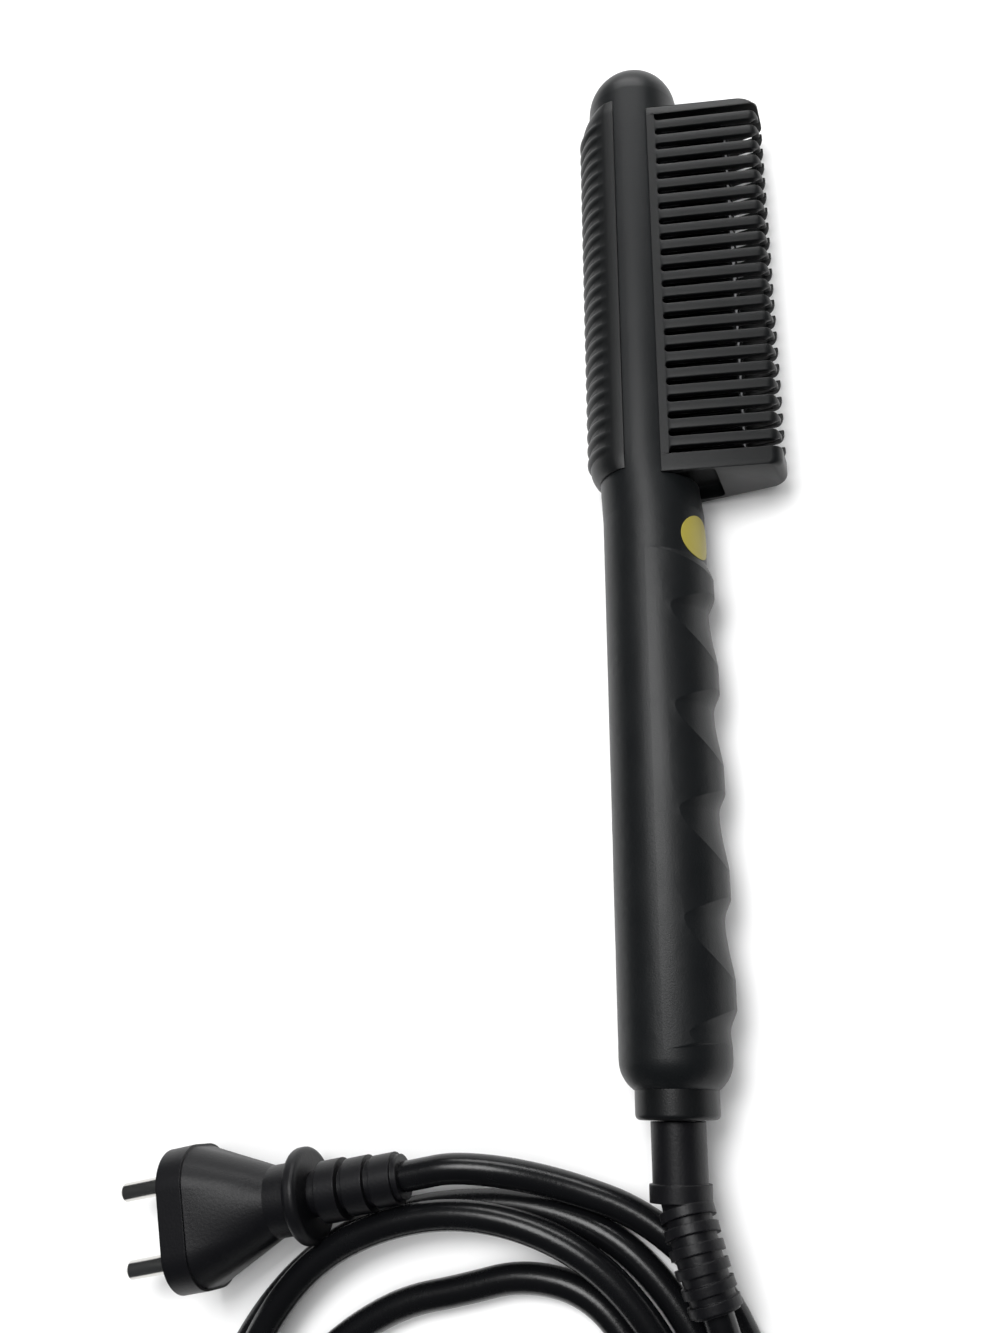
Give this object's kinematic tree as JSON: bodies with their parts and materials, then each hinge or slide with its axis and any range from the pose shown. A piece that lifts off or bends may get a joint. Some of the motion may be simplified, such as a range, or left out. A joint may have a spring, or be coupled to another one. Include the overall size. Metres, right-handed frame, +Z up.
{
  "type": "electric hot comb",
  "caption": "Corded heated straightening comb with curled guard teeth around a finned heated bar, a finger-ridged grip, push buttons, a swivel cord exit and a two-pin plug.",
  "frame": {"origin": "on the surface the comb lies on, below the middle of the tool's own box without its cord", "axes": "+Y from the tail to the domed head, +X from the spine to the teeth, +Z up"},
  "size_m": [0.1862, 0.4696, 0.0261],
  "materials": {
    "shell_plastic": "matte moulded",
    "guard_plastic": "matte moulded, heat resistant",
    "collar_plastic": "satin moulded",
    "button_plastic": "gloss",
    "window_plastic": "smoked clear plastic",
    "sticker_film": "gloss film",
    "bar_metal": "black glossy coat on aluminium",
    "heater_stone": "sintered ceramic",
    "contact_metal": "satin",
    "mica_sheet": "mica",
    "carrier_plastic": "heat-resistant plastic",
    "screw_steel": "plated",
    "sensor_bead": "epoxy bead",
    "lead_red": "silicone sleeve",
    "lead_white": "silicone sleeve",
    "board_laminate": "glass-fibre laminate",
    "block_plastic": "moulded",
    "chip_plastic": "moulded",
    "terminal_plastic": "moulded",
    "led_lens": "tinted lens",
    "ring_brass": "polished",
    "pin_metal": "nickel plate",
    "cord_jacket": "semi-gloss",
    "plug_rubber": "satin"
  },
  "bodies": {
    "tool": {"upper_shell": "shell_plastic", "lower_shell": "shell_plastic", "comb_guard": "guard_plastic", "rear_guard": "guard_plastic", "heating_block": "bar_metal", "round_sticker": "sticker_film", "end_collar": "collar_plastic", "ptc_elements": "heater_stone", "electrode_plates": "contact_metal", "mica_sheets": "mica_sheet", "heater_clamp": "screw_steel", "heater_carrier": "carrier_plastic", "block_screws": "screw_steel", "temperature_sensor": "sensor_bead", "thermal_fuse": "contact_metal", "heater_leads": "lead_red", "sensor_leads": "lead_white", "control_board": "board_laminate", "board_capacitor": "chip_plastic", "board_triac": "chip_plastic", "board_relay": "block_plastic", "board_chip": "chip_plastic", "heater_terminal": "terminal_plastic", "supply_terminal": "terminal_plastic", "tact_switches": "chip_plastic", "indicator_leds": "led_lens", "control_panel": "button_plastic", "level_window": "window_plastic", "shell_screws": "screw_steel", "brush_contacts": "ring_brass", "contact_carrier": "carrier_plastic", "supply_leads": "lead_red"},
    "power_button": {"power_button": "button_plastic"},
    "heat_button": {"heat_button": "button_plastic"},
    "cord": {"swivel_core": "collar_plastic", "slip_rings": "ring_brass", "strain_relief": "plug_rubber", "cord_lead": "cord_jacket", "cord_coil": "cord_jacket", "cord_plug_run": "cord_jacket", "plug_strain_relief": "plug_rubber", "plug_body": "plug_rubber", "plug_pin_carrier": "plug_rubber", "plug_pins": "pin_metal"}
  },
  "joints": [
    {"name": "power_button_press", "type": "slide", "parent": "tool", "child": "power_button", "axis": [1, 0, 0], "range_m": [0, 0.0005], "stiffness_N_per_m": 1500, "springref_m": -0.0005},
    {"name": "heat_button_press", "type": "slide", "parent": "tool", "child": "heat_button", "axis": [1, 0, 0], "range_m": [0, 0.0005], "stiffness_N_per_m": 1500, "springref_m": -0.0005},
    {"name": "cord_swivel", "type": "hinge", "parent": "tool", "child": "cord", "pos_m": [-0.00915, -0.14485, 0.013], "axis": [0, 1, 0], "continuous": true}
  ]
}
